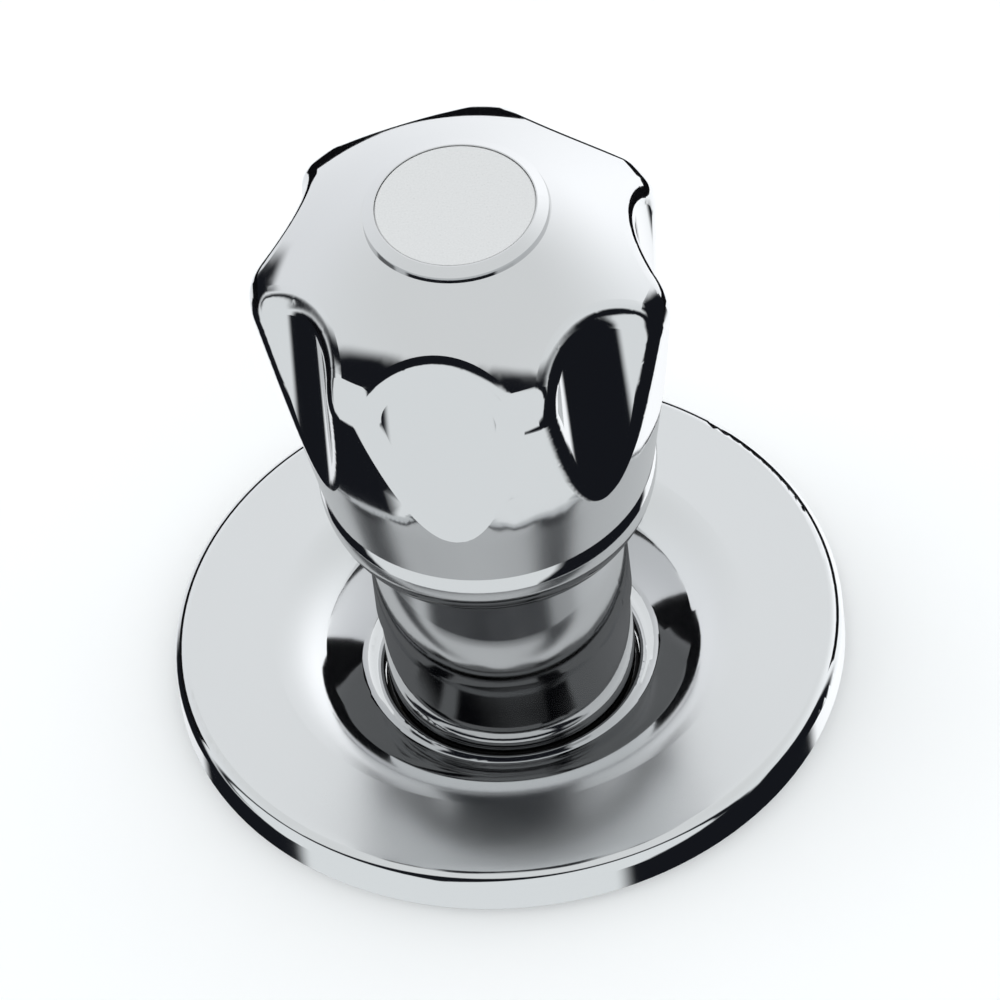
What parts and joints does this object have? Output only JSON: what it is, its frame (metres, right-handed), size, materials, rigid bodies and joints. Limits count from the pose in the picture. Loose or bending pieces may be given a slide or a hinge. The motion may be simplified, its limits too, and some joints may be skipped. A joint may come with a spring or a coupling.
{
  "type": "concealed stop valve",
  "caption": "Concealed stop valve: brass globe body for in-wall pipework, chromed sleeve, dished round wall flange and a crowned, fluted knob that lifts the seat washer.",
  "frame": {"origin": "middle of the finished wall face, on the spindle's axis, under the wall flange", "axes": "+Z out of the wall along the spindle, +X along the pipe towards the outlet"},
  "size_m": [0.08, 0.08, 0.1263],
  "materials": {
    "chrome": "polished chrome plate",
    "brass": "cast and turned brass",
    "steel": "bright stainless steel",
    "rubber": "black nitrile rubber",
    "foam": "dark closed-cell foam",
    "nylon": "natural nylon",
    "fibre": "red vulcanised fibre",
    "index": "satin light grey plastic"
  },
  "bodies": {
    "root": {"valve_body": "brass", "bonnet": "brass", "bonnet_washer": "fibre", "thrust_washer": "nylon", "base_sleeve": "chrome", "sleeve_seal": "rubber", "cover_sleeve": "chrome", "wall_flange": "chrome", "wall_seal": "foam"},
    "handle": {"knob": "chrome", "index_ring": "chrome", "index_disc": "index", "handle_screw": "steel", "screw_washer": "steel", "handle_insert": "nylon", "spindle": "brass", "spindle_seal_lower": "rubber", "spindle_seal_upper": "rubber", "spindle_circlip": "steel", "circlip_washer": "steel"},
    "jumper": {"washer_carrier": "brass", "seat_washer": "rubber", "washer_nut": "brass"}
  },
  "joints": [
    {"name": "handle_turn", "type": "hinge", "parent": "root", "child": "handle", "pos_m": [0, 0, 0], "axis": [0, 0, 1], "range_deg": [0, 810]},
    {"name": "jumper_lift", "type": "slide", "parent": "root", "child": "jumper", "axis": [0, 0, 1], "range_m": [0, 0.0045]}
  ],
  "couplings": [
    {"joint": "jumper_lift", "follows": "handle_turn", "m_per_rad": 0.0003183}
  ]
}
